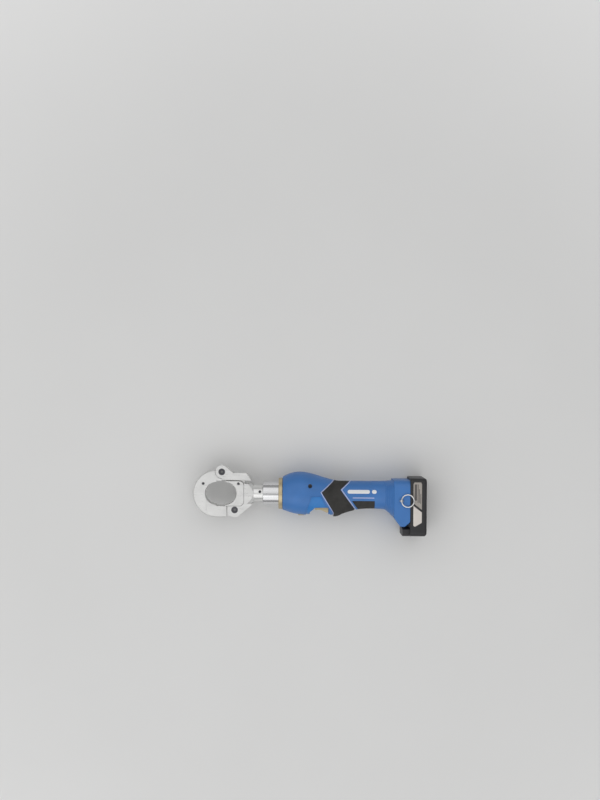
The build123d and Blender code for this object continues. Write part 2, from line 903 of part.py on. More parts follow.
def shell(side):
    """One moulded half of the housing."""
    with BuildPart() as half:
        add(body_form(side, 0))
        add(foot_form(side, 0))
        add(hollow(side), mode=Mode.SUBTRACT)
        rod(housing_x, wall, collar_spigot_radius, Mode.SUBTRACT)
        add(recess(side, grip_outline, recess_depth), mode=Mode.SUBTRACT)
        add(recess(side, pad_outline, recess_depth), mode=Mode.SUBTRACT)
        add(recess(side, scoop_outline, scoop_depth), mode=Mode.SUBTRACT)
        with BuildSketch(tool):
            with BuildLine():
                Polyline(
                    (notch_x, -notch_depth),
                    (notch_back, -notch_depth),
                    (notch_back, -far),
                    (notch_x - notch_rake, -far),
                    (notch_x - notch_rake, -trigger_low),
                    close=True,
                )
            make_face()
        extrude(amount=far, both=True, mode=Mode.SUBTRACT)
        with BuildSketch(tool):
            with Locations((notch_x + notch_length / 2, -notch_depth)):
                Rectangle(notch_length, 3 * wall)
        extrude(amount=trigger_half_width + trigger_clearance, both=True, mode=Mode.SUBTRACT)
        with BuildSketch(upright(button_x, -far / 4)):
            Circle(button_radius + button_gap)
        extrude(amount=far / 4 - block_radius, mode=Mode.SUBTRACT)
        with BuildSketch(across(slot_x)):
            with Locations((rail_top + rail_gap - far / 2, 0)):
                Rectangle(far, 2 * (rail_half_width + rail_gap))
        extrude(amount=rail_depth + rail_gap, mode=Mode.SUBTRACT)
        with BuildSketch(across(slot_x)):
            with Locations((rail_top + rail_gap - far / 2, 0)):
                Rectangle(far, 2 * (rail_neck + rail_gap))
        extrude(amount=slot_depth, mode=Mode.SUBTRACT)
        with BuildSketch(tool.offset(side * block_screw_seat)):
            with Locations((block_screw_x, block_screw_rise)):
                Circle(screw_recess_radius)
        extrude(amount=side * far, mode=Mode.SUBTRACT)
        with BuildSketch(tool):
            with Locations((block_screw_x, block_screw_rise)):
                Circle(screw_radius)
            with Locations(*foot_screws):
                Circle(screw_radius)
        extrude(amount=side * block_screw_seat, mode=Mode.SUBTRACT)
        if side < 0:
            with BuildSketch(tool.offset(-block_screw_seat)):
                with Locations(*foot_screws):
                    Circle(screw_recess_radius)
            extrude(amount=-far, mode=Mode.SUBTRACT)
    return half


def recess(side, outline, depth):
    """Shallow band in the surface of one shell, inside a side outline."""
    with BuildPart() as band:
        add(body_form(side, 0))
        prism(outline, side)
        add(body_form(side, depth), mode=Mode.SUBTRACT)
    return band.part


def rubber(side, outline, swell):
    """Moulded rubber that fills a recess, with any swelling under the hand."""
    with BuildPart() as skin:
        add(body_form(side, grip_sunk, swell))
        prism(outline, side)
        add(body_form(side, recess_depth), mode=Mode.SUBTRACT)
    return skin


left_shell = shell(1)
save(left_shell, "left_shell")
right_shell = shell(-1)
save(right_shell, "right_shell")
left_grip = rubber(1, grip_outline, hump)
save(left_grip, "left_grip")
right_grip = rubber(-1, grip_outline, hump)
save(right_grip, "right_grip")
left_pad = rubber(1, pad_outline, 0)
save(left_pad, "left_pad")
right_pad = rubber(-1, pad_outline, 0)
save(right_pad, "right_pad")

# Pump block: swivel spigot ahead, cam chamber behind, plunger above and release valve below
cam_x = block_back - cam_depth + cam_start
cam_middle = cam_x + cam_width / 2
swivel_seal_x = block_x - (block_spigot + seal_width) / 2
pilot_x = block_back - cam_depth - shaft_pilot
with BuildPart() as pump_block:
    rod(block_x, block_length, block_radius)
    rod(block_x - block_spigot, block_spigot, cylinder_bore - running_fit)
    with BuildSketch(across(swivel_seal_x)):
        Circle(cylinder_bore)
        Circle(cylinder_bore - seal_depth, mode=Mode.SUBTRACT)
    extrude(amount=seal_width, mode=Mode.SUBTRACT)
    with BuildSketch(tool):
        with Locations((notch_front - stack_gap + far / 2, -block_flat - far / 2)):
            Rectangle(far, far)
    extrude(amount=far, both=True, mode=Mode.SUBTRACT)
    rod(block_back - cam_depth, cam_depth, cam_room, Mode.SUBTRACT)
    rod(pilot_x, shaft_pilot, pilot_radius + running_fit, Mode.SUBTRACT)
    with BuildSketch(upright(cam_middle, 0)):
        Circle(plunger_radius + running_fit)
    extrude(amount=block_radius, mode=Mode.SUBTRACT)
    with BuildSketch(upright(cam_middle, block_radius - plug_depth)):
        Circle(plug_radius)
    extrude(amount=plug_depth, mode=Mode.SUBTRACT)
    with BuildSketch(upright(button_x, -block_radius)):
        Circle(valve_radius)
    extrude(amount=valve_depth, mode=Mode.SUBTRACT)
    for side in (1, -1):
        with BuildSketch(tool.offset(side * block_pad)):
            with Locations((block_screw_x, block_screw_rise)):
                Circle(boss_outer + button_gap)
        extrude(amount=side * block_radius, mode=Mode.SUBTRACT)
        with BuildSketch(tool.offset(side * block_pad)):
            with Locations((block_screw_x, block_screw_rise)):
                Circle(screw_radius)
        extrude(amount=-side * block_screw_grip, mode=Mode.SUBTRACT)
save(pump_block, "pump_block")

with BuildPart() as swivel_seal:
    rod(swivel_seal_x, seal_width, cylinder_bore - running_fit)
    rod(swivel_seal_x, seal_width, cylinder_bore - seal_depth, Mode.SUBTRACT)
save(swivel_seal, "swivel_seal")

plunger_low = cam_throw + cam_bearing + running_fit
with BuildPart() as plunger:
    with BuildSketch(upright(cam_middle, plunger_low)):
        Circle(plunger_radius)
    extrude(amount=block_radius - plug_depth - plunger_low - stack_gap)
    chamfer(plunger.faces().sort_by(Axis.Y)[-1].edges(), stack_gap)
save(plunger, "pump_plunger")

with BuildPart() as plug:
    with BuildSketch(upright(cam_middle, block_radius - plug_depth)):
        Circle(plug_radius)
    extrude(amount=plug_depth)
    with BuildSketch(upright(cam_middle, block_radius)):
        RegularPolygon(plug_radius / 2, 6)
    extrude(amount=-plug_depth / 2, mode=Mode.SUBTRACT)
save(plug, "plunger_plug")

valve_tip = block_radius + valve_reach
with BuildPart() as valve:
    with BuildSketch(upright(button_x, -block_radius)):
        Circle(valve_radius)
    extrude(amount=valve_depth)
    with BuildSketch(upright(button_x, -valve_tip)):
        Circle(valve_stem)
    extrude(amount=valve_reach)
save(valve, "release_valve")

with BuildPart() as bladder:
    start = radians(-bladder_arc / 2)
    with BuildSketch(Plane((block_x, axis_y, mid_z), x_dir=(1, 0, 0), z_dir=(0, -sin(start), cos(start)))):
        with Locations((wall + bladder_length / 2, block_radius + running_fit + bladder_thickness / 2)):
            RectangleRounded(bladder_length, bladder_thickness, bladder_corner)
    revolve(axis=tool_axis, revolution_arc=bladder_arc)
save(bladder, "oil_bladder")

# Cam shaft with its needle bearing, driven through the gear case by the motor
with BuildPart() as cam_shaft:
    rod(pilot_x + stack_gap, cam_x - pilot_x - stack_gap, pilot_radius)
    with BuildSketch(across(cam_x)):
        with Locations((cam_throw, 0)):
            Circle(cam_radius)
    extrude(amount=cam_width)
    rod(cam_x + cam_width, gear_x + shaft_socket - cam_x - cam_width - stack_gap, shaft_radius)
save(cam_shaft, "cam_shaft")

with BuildPart() as cam_bearing_ring:
    with BuildSketch(across(cam_x + stack_gap)):
        with Locations((cam_throw, 0)):
            Circle(cam_bearing)
            Circle(cam_radius, mode=Mode.SUBTRACT)
    extrude(amount=cam_width - 2 * stack_gap)
save(cam_bearing_ring, "cam_bearing")

with BuildPart() as gear_case:
    with BuildSketch(tool):
        with BuildLine():
            Polyline(
                (gear_x, shaft_radius + running_fit),
                (gear_x, gear_radius),
                (gear_x + gear_flange, gear_radius),
                (gear_x + gear_flange, gear_radius - wall / 2),
                (gear_x + gear_length - gear_flange, gear_radius - wall / 2),
                (gear_x + gear_length - gear_flange, gear_radius),
                (gear_x + gear_length, gear_radius),
                (gear_x + gear_length, pinion_radius + stack_gap),
                (gear_x + gear_length - pinion_length - stack_gap, pinion_radius + stack_gap),
                (gear_x + gear_length - pinion_length - stack_gap, 0),
                (gear_x + shaft_socket, 0),
                (gear_x + shaft_socket, shaft_radius + running_fit),
                close=True,
            )
        make_face()
    revolve(axis=tool_axis)
save(gear_case, "gear_case")

with BuildPart() as motor_can:
    rod(motor_x, motor_length, motor_radius)
    rod(motor_x + motor_wall, motor_length, motor_radius - motor_wall, Mode.SUBTRACT)
    rod(motor_x, motor_wall, rotor_shaft_radius + running_fit, Mode.SUBTRACT)
    with BuildSketch(across(motor_x)):
        with PolarLocations(vent_circle, vent_count):
            Circle(vent_radius)
    extrude(amount=motor_wall, mode=Mode.SUBTRACT)
save(motor_can, "motor_can")

magnet_inner = armature_radius + air_gap
with BuildPart() as magnets:
    with BuildSketch(across(motor_x + armature_start)):
        Circle(motor_radius - motor_wall)
        Circle(magnet_inner, mode=Mode.SUBTRACT)
        Rectangle(2 * magnet_gap, far, mode=Mode.SUBTRACT)
    extrude(amount=armature_length)
save(magnets, "motor_magnets")

pinion_x = motor_x - stack_gap - pinion_length
with BuildPart() as rotor:
    rod(pinion_x, end_cap_x + wall - pinion_x, rotor_shaft_radius)
    with BuildSketch(across(pinion_x)):
        Circle(pinion_radius)
        with PolarLocations(pinion_radius, pinion_teeth):
            Circle(pinion_cut, mode=Mode.SUBTRACT)
    extrude(amount=pinion_length)
    with BuildSketch(across(motor_x + armature_start)):
        Circle(armature_radius)
        with PolarLocations(pole_slot_circle, pole_count):
            Rectangle(pole_slot_depth, magnet_gap, mode=Mode.SUBTRACT)
    extrude(amount=armature_length)
    rod(motor_x + armature_start + armature_length, commutator_length, commutator_radius)
save(rotor, "motor_rotor")

with BuildPart() as end_cap:
    rod(end_cap_x, end_cap_length, motor_radius)
    chamfer(end_cap.faces().sort_by(Axis.X)[-1].edges(), edge_break)
    rod(end_cap_x - wall, wall, motor_radius - motor_wall)
    rod(end_cap_x - wall, wall, commutator_radius + wall, Mode.SUBTRACT)
    rod(end_cap_x, wall + stack_gap, rotor_shaft_radius + running_fit, Mode.SUBTRACT)
    with BuildSketch(across(end_cap_x)):
        with PolarLocations(vent_circle, vent_count):
            Circle(vent_radius)
    extrude(amount=end_cap_length, mode=Mode.SUBTRACT)
save(end_cap, "motor_end_cap")

# Trigger: a wide hollow paddle in the notch, held by two tabs over the notch wall
trigger_top = notch_depth - wall - trigger_tab
trigger_floor = trigger_low - finger_hollow - wall
with BuildPart() as trigger:
    with BuildSketch(tool):
        with BuildLine():
            Polyline(
                (trigger_front, -trigger_low + finger_hollow),
                (trigger_front, -trigger_top),
                (trigger_back, -trigger_top),
                (trigger_back, -trigger_low),
                (trigger_back - finger_hollow, -trigger_low),
            )
            ThreePointArc(
                (trigger_back - finger_hollow, -trigger_low),
                ((trigger_front + trigger_back) / 2, -trigger_low + finger_hollow),
                (trigger_front, -trigger_low + finger_hollow),
            )
        make_face()
    extrude(amount=trigger_half_width, both=True)
    rim = trigger.faces().sort_by(Axis.Y)[:2].edges()
    rim_ends = rim.filter_by(Axis.Z).sort_by(Axis.X)
    fillet(rim.filter_by(Axis.Z, reverse=True) + [rim_ends[0], rim_ends[-1]], trigger_round)
    with BuildSketch(upright((trigger_front + trigger_back) / 2, -trigger_top)):
        Rectangle(2 * (trigger_half_width + trigger_tab), notch_length / 2)
    extrude(amount=-(trigger_tab - running_fit))
    with BuildSketch(upright((trigger_front + trigger_back) / 2, -trigger_floor)):
        Rectangle(2 * (trigger_half_width - wall), trigger_back - trigger_front - 2 * wall)
    extrude(amount=trigger_floor - trigger_top, mode=Mode.SUBTRACT)
save(trigger, "trigger")

switch_top = block_flat + running_fit
with BuildPart() as trigger_switch:
    with BuildSketch(upright((trigger_front + trigger_back) / 2, -switch_top)):
        RectangleRounded(switch_width, switch_length, edge_break)
    extrude(amount=-switch_height)
    with BuildSketch(upright((trigger_front + trigger_back) / 2, -switch_top - switch_height)):
        Circle(screw_radius)
    extrude(amount=-(trigger_floor - trigger_travel - switch_top - switch_height - running_fit))
save(trigger_switch, "trigger_switch")

# Release button under the valve
flange_low = button_low - wall - button_seat
with BuildPart() as release_button:
    with BuildSketch(upright(button_x, -button_low - button_proud)):
        Circle(button_radius)
    extrude(amount=button_low + button_proud - flange_low)
    fillet(release_button.faces().sort_by(Axis.Y)[0].edges(), edge_break)
    with BuildSketch(upright(button_x, -flange_low)):
        Circle(button_flange)
    extrude(amount=trigger_tab)
    with BuildSketch(upright(button_x, -flange_low)):
        Circle(valve_stem)
    extrude(amount=flange_low - valve_tip - button_travel - button_gap)
save(release_button, "release_button")

# Screws: one through each shell into the pump block, two through the right shell into the left one
with BuildPart() as housing_screws:
    for side in (1, -1):
        with BuildSketch(tool.offset(side * (block_pad - block_screw_grip))):
            with Locations((block_screw_x, block_screw_rise)):
                Circle(screw_radius)
        extrude(amount=side * (block_screw_seat - block_pad + block_screw_grip))
        with BuildSketch(tool.offset(side * block_screw_seat)):
            with Locations((block_screw_x, block_screw_rise)):
                Circle(screw_head_radius)
        extrude(amount=side * screw_head_height)
    with BuildSketch(tool.offset(-block_screw_seat)):
        with Locations(*foot_screws):
            Circle(screw_radius)
    extrude(amount=block_screw_seat + block_screw_grip)
    with BuildSketch(tool.offset(-block_screw_seat)):
        with Locations(*foot_screws):
            Circle(screw_head_radius)
    extrude(amount=-screw_head_height)
save(housing_screws, "housing_screws")

# Control board across the foot, with its capacitors, power switches and plug
with BuildPart() as control_board:
    with BuildSketch(across(board_x)):
        with Locations((board_middle, 0)):
            RectangleRounded(2 * board_half, 2 * board_half_width, edge_break)
    extrude(amount=board_thickness)
    with BuildSketch(across(board_x)):
        with Locations((board_middle - capacitor_drop, 0)):
            with GridLocations(0, capacitor_pitch, 1, 2):
                Circle(capacitor_radius)
    extrude(amount=-capacitor_length)
    with BuildSketch(across(board_x)):
        with Locations((board_middle + power_switch_rise, 0)):
            with GridLocations(0, power_switch_pitch, 1, power_switch_count):
                Rectangle(power_switch_length, power_switch_thickness)
    extrude(amount=-power_switch_height)
    with BuildSketch(across(board_x + board_thickness)):
        with Locations((board_middle, 0)):
            Rectangle(plug_width, plug_length)
    extrude(amount=rib_width)
save(control_board, "control_board")

# Battery terminals in the slot of the foot
terminal_middle = (terminal_top - terminal_low) / 2
terminal_height = terminal_top + terminal_low
blade_spots = [(number - (blade_count - 1) / 2) * blade_pitch for number in range(blade_count)]
with BuildPart() as terminal_block:
    with BuildSketch(across(slot_x)):
        with Locations((terminal_middle, 0)):
            RectangleRounded(terminal_height, 2 * terminal_half_width, edge_break)
    extrude(amount=terminal_thickness)
save(terminal_block, "terminal_block")

with BuildPart() as blades:
    with BuildSketch(across(slot_x + terminal_thickness)):
        with Locations(*[(terminal_middle, spot) for spot in blade_spots]):
            Rectangle(terminal_height - 2 * edge_break, blade_thickness)
    extrude(amount=blade_reach)
save(blades, "terminal_blades")


def battery_outline(inset):
    """Rounded side outline of the battery as seen along the tool axis, drawn in by an inset."""
    with Locations(((battery_top - battery_low) / 2, 0)):
        RectangleRounded(
            battery_top + battery_low - 2 * inset, 2 * (battery_half_width - inset), battery_corner - inset
        )


# Battery cover with the T rail that slides in the foot, and the nose that holds the release button
pocket_low = terminal_low + terminal_room
rail_middle = (rail_top - rail_low) / 2
rail_height = rail_top + rail_low
latch_button_x = foot_back - nose_length / 2
latch_pocket = latch_button_sunk + latch_button_depth + latch_button_travel + battery_gap
with BuildPart() as battery_cover:
    with BuildSketch(across(cover_x)):
        battery_outline(0)
    extrude(amount=battery_split)
    with BuildSketch(across(slot_x + rail_depth)):
        with Locations((rail_middle, 0)):
            Rectangle(rail_height, 2 * rail_neck)
    extrude(amount=cover_x - slot_x - rail_depth)
    with BuildSketch(across(slot_x + rail_gap)):
        with Locations((rail_middle, 0)):
            RectangleRounded(rail_height, 2 * rail_half_width, edge_break)
        with Locations((far / 2 - pocket_low, 0)):
            Rectangle(far, 2 * (terminal_half_width + terminal_room), mode=Mode.SUBTRACT)
    extrude(amount=rail_depth - rail_gap)
    with BuildSketch(across(foot_back - nose_length)):
        with Locations((nose_height / 2 - battery_low, 0)):
            RectangleRounded(nose_height, 2 * nose_half_width, battery_corner / 2)
    extrude(amount=nose_length + battery_gap)
    with BuildSketch(upright(latch_button_x, -battery_low)):
        Rectangle(2 * (latch_button_half_width + battery_gap), latch_button_width + 2 * battery_gap)
    extrude(amount=latch_pocket, mode=Mode.SUBTRACT)
    with BuildSketch(across(split_x)):
        with Locations((rail_middle, 0)):
            Rectangle(rail_height - 2 * cover_rim, 2 * (rail_neck - wall))
    extrude(amount=-(split_x - slot_x - rail_depth - battery_wall), mode=Mode.SUBTRACT)
save(battery_cover, "battery_cover")

with BuildPart() as battery_case:
    with BuildSketch(across(split_x)):
        battery_outline(0)
    extrude(amount=battery_back - split_x)
    fillet(battery_case.faces().sort_by(Axis.X)[-1].edges(), battery_edge)
    with BuildSketch(across(split_x)):
        battery_outline(battery_wall)
    extrude(amount=battery_back - split_x - battery_wall, mode=Mode.SUBTRACT)
save(battery_case, "battery_case")

cell_x = battery_back - battery_wall - cell_radius - running_fit
cell_middle = (battery_top - battery_low) / 2
cell_spots = [(number - (cell_count - 1) / 2) * cell_pitch for number in range(cell_count)]
with BuildPart() as cells:
    with BuildSketch(tool):
        with Locations(*[(cell_x, cell_middle + spot) for spot in cell_spots]):
            Circle(cell_radius)
    extrude(amount=cell_length / 2, both=True)
save(cells, "battery_cells")

board_seat = split_x + board_thickness + 2 * running_fit
with BuildPart() as cell_holder:
    with BuildSketch(tool):
        with Locations(((board_seat + cell_x) / 2, cell_middle)):
            Rectangle(cell_x - board_seat, cell_count * cell_pitch)
        with Locations(*[(cell_x, cell_middle + spot) for spot in cell_spots]):
            Circle(cell_radius + running_fit, mode=Mode.SUBTRACT)
    extrude(amount=cell_length / 2 - wall, both=True)
save(cell_holder, "cell_holder")

with BuildPart() as battery_board:
    with BuildSketch(across(split_x + running_fit)):
        with Locations((rail_middle, 0)):
            RectangleRounded(rail_height - 2 * battery_board_rim, 2 * (rail_neck - 2 * wall), edge_break)
    extrude(amount=board_thickness)
save(battery_board, "battery_board")

clip_gap = blade_thickness / 2 + contact_gap
with BuildPart() as contacts:
    with BuildSketch(across(slot_x + rail_depth)):
        for spot in blade_spots:
            with Locations((terminal_middle, spot)):
                Rectangle(terminal_height / 2, 2 * (clip_gap + contact_wall))
                Rectangle(terminal_height / 2, 2 * clip_gap, mode=Mode.SUBTRACT)
    extrude(amount=-(rail_depth - terminal_thickness - edge_break))
save(contacts, "battery_contacts")

with BuildPart() as battery_button:
    with BuildSketch(upright(latch_button_x, -battery_low + latch_button_sunk)):
        RectangleRounded(2 * latch_button_half_width, latch_button_width, edge_break)
    extrude(amount=latch_button_depth)
    fillet(battery_button.faces().sort_by(Axis.Y)[0].edges(), edge_break)
save(battery_button, "battery_button")

# Strap eye on the left flank of the foot, and the ring that hangs in it
eye_x = foot_back - eye_ahead
eye_plane = Plane((eye_x, axis_y - eye_drop, mid_z + foot_half_width), x_dir=(1, 0, 0), z_dir=(0, -1, 0))
with BuildPart() as strap_eye:
    with BuildSketch(eye_plane):
        with Locations((0, eye_rise)):
            Circle(eye_hole + eye_wall)
        with Locations((0, eye_wall / 4)):
            Rectangle(eye_length, eye_wall / 2)
        make_hull()
        with Locations((0, -far / 2)):
            Rectangle(far, far, mode=Mode.SUBTRACT)
        with Locations((0, eye_rise)):
            Circle(eye_hole, mode=Mode.SUBTRACT)
    extrude(amount=eye_width / 2, both=True)
save(strap_eye, "strap_eye")

ring_z = mid_z + foot_half_width + eye_rise
with BuildPart(Plane((eye_x + ring_radius, axis_y - eye_drop, ring_z))) as strap_ring:
    Torus(ring_radius, ring_wire)
save(strap_ring, "strap_ring")
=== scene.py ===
import json
import math

import bmesh
import bpy
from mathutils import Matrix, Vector
from mathutils.bvhtree import BVHTree


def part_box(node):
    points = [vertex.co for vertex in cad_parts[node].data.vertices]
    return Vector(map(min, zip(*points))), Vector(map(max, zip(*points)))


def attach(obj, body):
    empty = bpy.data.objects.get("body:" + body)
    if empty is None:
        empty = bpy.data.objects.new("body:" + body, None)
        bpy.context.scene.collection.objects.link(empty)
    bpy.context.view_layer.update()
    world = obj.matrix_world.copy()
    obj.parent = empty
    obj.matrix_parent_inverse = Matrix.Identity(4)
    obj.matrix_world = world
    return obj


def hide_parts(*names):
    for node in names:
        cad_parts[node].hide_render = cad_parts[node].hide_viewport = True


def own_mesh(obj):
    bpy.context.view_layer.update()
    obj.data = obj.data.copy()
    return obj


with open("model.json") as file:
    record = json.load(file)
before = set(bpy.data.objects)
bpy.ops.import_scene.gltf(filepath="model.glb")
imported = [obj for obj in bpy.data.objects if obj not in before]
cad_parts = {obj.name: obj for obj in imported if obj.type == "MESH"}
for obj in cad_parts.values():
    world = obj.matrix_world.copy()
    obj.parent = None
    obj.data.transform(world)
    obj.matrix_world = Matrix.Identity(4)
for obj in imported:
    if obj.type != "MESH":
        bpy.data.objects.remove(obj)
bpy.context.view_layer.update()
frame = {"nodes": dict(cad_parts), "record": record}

scene = bpy.context.scene
nodes = frame["nodes"]

# Pieces are given in tool millimetres: along the tool, over its axis and across its middle plane.
# A place OUTSIDE is beyond every skin of the tool.
MM = 0.001
AXIS_Y = 11.0
MID_Z = 38.0
OUTSIDE = 90.0
FULL_TURN = 2.0 * math.pi
LEFT = 1.0
RIGHT = -1.0
SIDES = ((LEFT, "left"), (RIGHT, "right"))


def at(x, y, z=0.0):
    """Place in metres of a point given in tool millimetres."""
    return Vector((x, AXIS_Y + y, MID_Z + z)) * MM


# Nodes shared by the materials and the sky

def math_node(tree, kind, first, second=0.0):
    node = tree.nodes.new("ShaderNodeMath")
    node.operation = kind
    for socket, value in zip(node.inputs, (first, second)):
        if isinstance(value, float):
            socket.default_value = value
        else:
            tree.links.new(value, socket)
    return node.outputs["Value"]


def range_node(tree, value, start, end, low=0.0, high=1.0, smooth=True):
    node = tree.nodes.new("ShaderNodeMapRange")
    if smooth:
        node.interpolation_type = "SMOOTHSTEP"
    node.inputs["From Min"].default_value = start
    node.inputs["From Max"].default_value = end
    node.inputs["To Min"].default_value = low
    node.inputs["To Max"].default_value = high
    tree.links.new(value, node.inputs["Value"])
    return node.outputs["Result"]


# Materials
BRUSHED = (30.0, 900.0, 900.0)
TURNED = (900.0, 40.0, 40.0)
EDGE_ROUNDING = 0.0004


def even(scale):
    """Surface marks without a direction."""
    return (scale, scale, scale)


def new_material(name, colour, roughness, metallic=0.0):
    mat = bpy.data.materials.new(name)
    mat.use_nodes = True
    tree = mat.node_tree
    shader = tree.nodes["Principled BSDF"]
    shader.inputs["Base Color"].default_value = (*colour, 1.0)
    shader.inputs["Roughness"].default_value = roughness
    shader.inputs["Metallic"].default_value = metallic
    return mat, tree, shader


def noise(tree, scale, stretch=(1.0, 1.0, 1.0), detail=4.0, roughness=0.55):
    coord = tree.nodes.new("ShaderNodeTexCoord")
    place = tree.nodes.new("ShaderNodeMapping")
    place.inputs["Scale"].default_value = stretch
    tex = tree.nodes.new("ShaderNodeTexNoise")
    tex.inputs["Scale"].default_value = scale
    tex.inputs["Detail"].default_value = detail
    tex.inputs["Roughness"].default_value = roughness
    tree.links.new(coord.outputs["Object"], place.inputs["Vector"])
    tree.links.new(place.outputs["Vector"], tex.inputs["Vector"])
    return tex.outputs["Fac"]


def vary_colour(tree, shader, fac, low, high, start=0.3, end=0.7):
    ramp = tree.nodes.new("ShaderNodeValToRGB")
    ramp.color_ramp.elements[0].position = start
    ramp.color_ramp.elements[0].color = (*low, 1.0)
    ramp.color_ramp.elements[1].position = end
    ramp.color_ramp.elements[1].color = (*high, 1.0)
    tree.links.new(fac, ramp.inputs["Fac"])
    tree.links.new(ramp.outputs["Color"], shader.inputs["Base Color"])


def vary_roughness(tree, shader, fac, low, high, start=0.25, end=0.75):
    span = range_node(tree, fac, start, end, low, high, smooth=False)
    tree.links.new(span, shader.inputs["Roughness"])


def add_bump(tree, shader, fac, depth, rounded=True):
    """Relief of a surface, with its sharp edges softened where it is rounded."""
    bump = tree.nodes.new("ShaderNodeBump")
    bump.inputs["Strength"].default_value = 1.0
    bump.inputs["Distance"].default_value = depth
    tree.links.new(fac, bump.inputs["Height"])
    if rounded:
        edge = tree.nodes.new("ShaderNodeBevel")
        edge.inputs["Radius"].default_value = EDGE_ROUNDING
        tree.links.new(edge.outputs["Normal"], bump.inputs["Normal"])
    tree.links.new(bump.outputs["Normal"], shader.inputs["Normal"])


def shade(colour, by):
    return tuple(min(1.0, c * by) for c in colour)


def metal(name, colour, rough, brush=BRUSHED, depth=2e-6, spread=0.10, tone=0.08, metallic=1.0):
    mat, tree, shader = new_material(name, colour, rough, metallic)
    lines = noise(tree, scale=1.0, stretch=brush, detail=3.0)
    cloud = noise(tree, scale=45.0, detail=5.0)
    vary_colour(tree, shader, cloud, shade(colour, 1.0 - tone), shade(colour, 1.0 + tone))
    vary_roughness(tree, shader, lines, rough - spread / 2, rough + spread)
    add_bump(tree, shader, lines, depth)
    return mat


def plastic(name, colour, rough, grain=2600.0, depth=1.2e-5, tone=0.07, spread=0.08, rounded=True):
    mat, tree, shader = new_material(name, colour, rough)
    cloud = noise(tree, scale=28.0, detail=6.0)
    vary_colour(tree, shader, cloud, shade(colour, 1.0 - tone), shade(colour, 1.0 + tone))
    scuff = noise(tree, scale=130.0, stretch=(1.0, 2.5, 2.5), detail=5.0)
    vary_roughness(tree, shader, scuff, rough - spread, rough + spread)
    add_bump(tree, shader, noise(tree, scale=grain, detail=2.0), depth, rounded)
    return mat


def rubber(name, colour, rough=0.78, pitch=900.0, depth=5e-5,
           dark=0.75, pale=1.35, less=0.1, more=0.08):
    mat, tree, shader = new_material(name, colour, rough)
    cloud = noise(tree, scale=36.0, detail=6.0)
    vary_colour(tree, shader, cloud, shade(colour, dark), shade(colour, pale))
    vary_roughness(tree, shader, noise(tree, scale=160.0), rough - less, rough + more)
    coord = tree.nodes.new("ShaderNodeTexCoord")
    cells = tree.nodes.new("ShaderNodeTexVoronoi")
    cells.inputs["Scale"].default_value = pitch
    tree.links.new(coord.outputs["Object"], cells.inputs["Vector"])
    add_bump(tree, shader, cells.outputs["Distance"], depth)
    return mat


STEEL = metal("satin_steel", (0.79, 0.79, 0.78), 0.31, depth=2.4e-6, spread=0.13, tone=0.06,
              metallic=0.92)
CHROME = metal("ground_chrome", (0.71, 0.71, 0.72), 0.12, TURNED, depth=6e-7, spread=0.05,
               tone=0.03)
BRIGHT = metal("plated_wire", (0.80, 0.80, 0.80), 0.22, even(300.0), depth=1e-6, spread=0.08,
               tone=0.05)
DARK_STEEL = metal("blackened_steel", (0.10, 0.10, 0.11), 0.42, even(200.0), depth=3e-6, tone=0.2)
GOLD = metal("tan_anodised", (0.60, 0.50, 0.32), 0.40, TURNED, depth=1.5e-6, tone=0.06)
# Mid grey for the socket floors: darker than bare steel, painted shade of the deep sockets.
PAINTED_SHADE_SOCKET = metal("socket_floor_painted_shade", (0.22, 0.22, 0.22), 0.42, even(200.0), depth=3e-6, tone=0.1)
ALLOY = metal("machined_alloy", (0.70, 0.71, 0.72), 0.34)
ZINC = metal("zinc_plate", (0.55, 0.56, 0.58), 0.38, even(80.0), depth=3e-6, spread=0.12, tone=0.1)
COPPER = metal("bare_copper", (0.72, 0.46, 0.24), 0.35, even(120.0), depth=2e-6, tone=0.1)
FERRITE = metal("sintered_magnet", (0.12, 0.12, 0.13), 0.6, even(600.0), depth=6e-6, tone=0.2)
BLUE = plastic("blue_plastic", (0.042, 0.168, 0.455), 0.42)
# Lighter, more saturated blue than the housing for the scoop panels: painted light on a face turned
# towards the lamps; the lower roughness is the panels' own smoother finish.
PAINTED_LIGHT_SCOOP_BLUE = plastic("smooth_blue_painted_light", (0.022, 0.190, 0.530), 0.34, depth=4e-6, rounded=False)
# Pale lavender for the beads along the grip edges: painted highlights, where the edges catch the
# light.
PAINTED_EDGE_HIGHLIGHT = plastic("pale_edge_painted_highlight", (0.44, 0.49, 0.72), 0.38)
TAN = plastic("tan_plastic", (0.52, 0.43, 0.26), 0.46)
BLACK = plastic("black_plastic", (0.018, 0.018, 0.020), 0.45, tone=0.2)
FRAME = plastic("grey_plastic", (0.060, 0.060, 0.065), 0.5, tone=0.15)
BOARD = plastic("board_laminate", (0.030, 0.140, 0.060), 0.35, grain=900.0, depth=2e-5, tone=0.2)
SLEEVE = plastic("cell_sleeve", (0.10, 0.33, 0.22), 0.3, grain=1200.0, depth=6e-6)
PALE = plastic("pale_print", (0.78, 0.79, 0.80), 0.5)
LABEL = plastic("label_silver", (0.36, 0.33, 0.30), 0.36)
LABEL_BRIGHT = plastic("label_bright", (0.68, 0.634, 0.59), 0.34)
LABEL_DARK = plastic("label_grey", (0.10, 0.09, 0.085), 0.4)
# Near-black for the screw recesses: painted shade of a hollow, on thin plates.
PAINTED_RECESS_SHADE = plastic("painted_recess_shade", (0.006, 0.006, 0.006), 0.6)
SEAM = plastic("seam_shadow", (0.008, 0.020, 0.060), 0.6)
RUBBER = rubber("grip_rubber", (0.026, 0.025, 0.023))
SEAL = rubber("seal_rubber", (0.020, 0.020, 0.020), 0.5, pitch=1800.0, depth=1e-5)


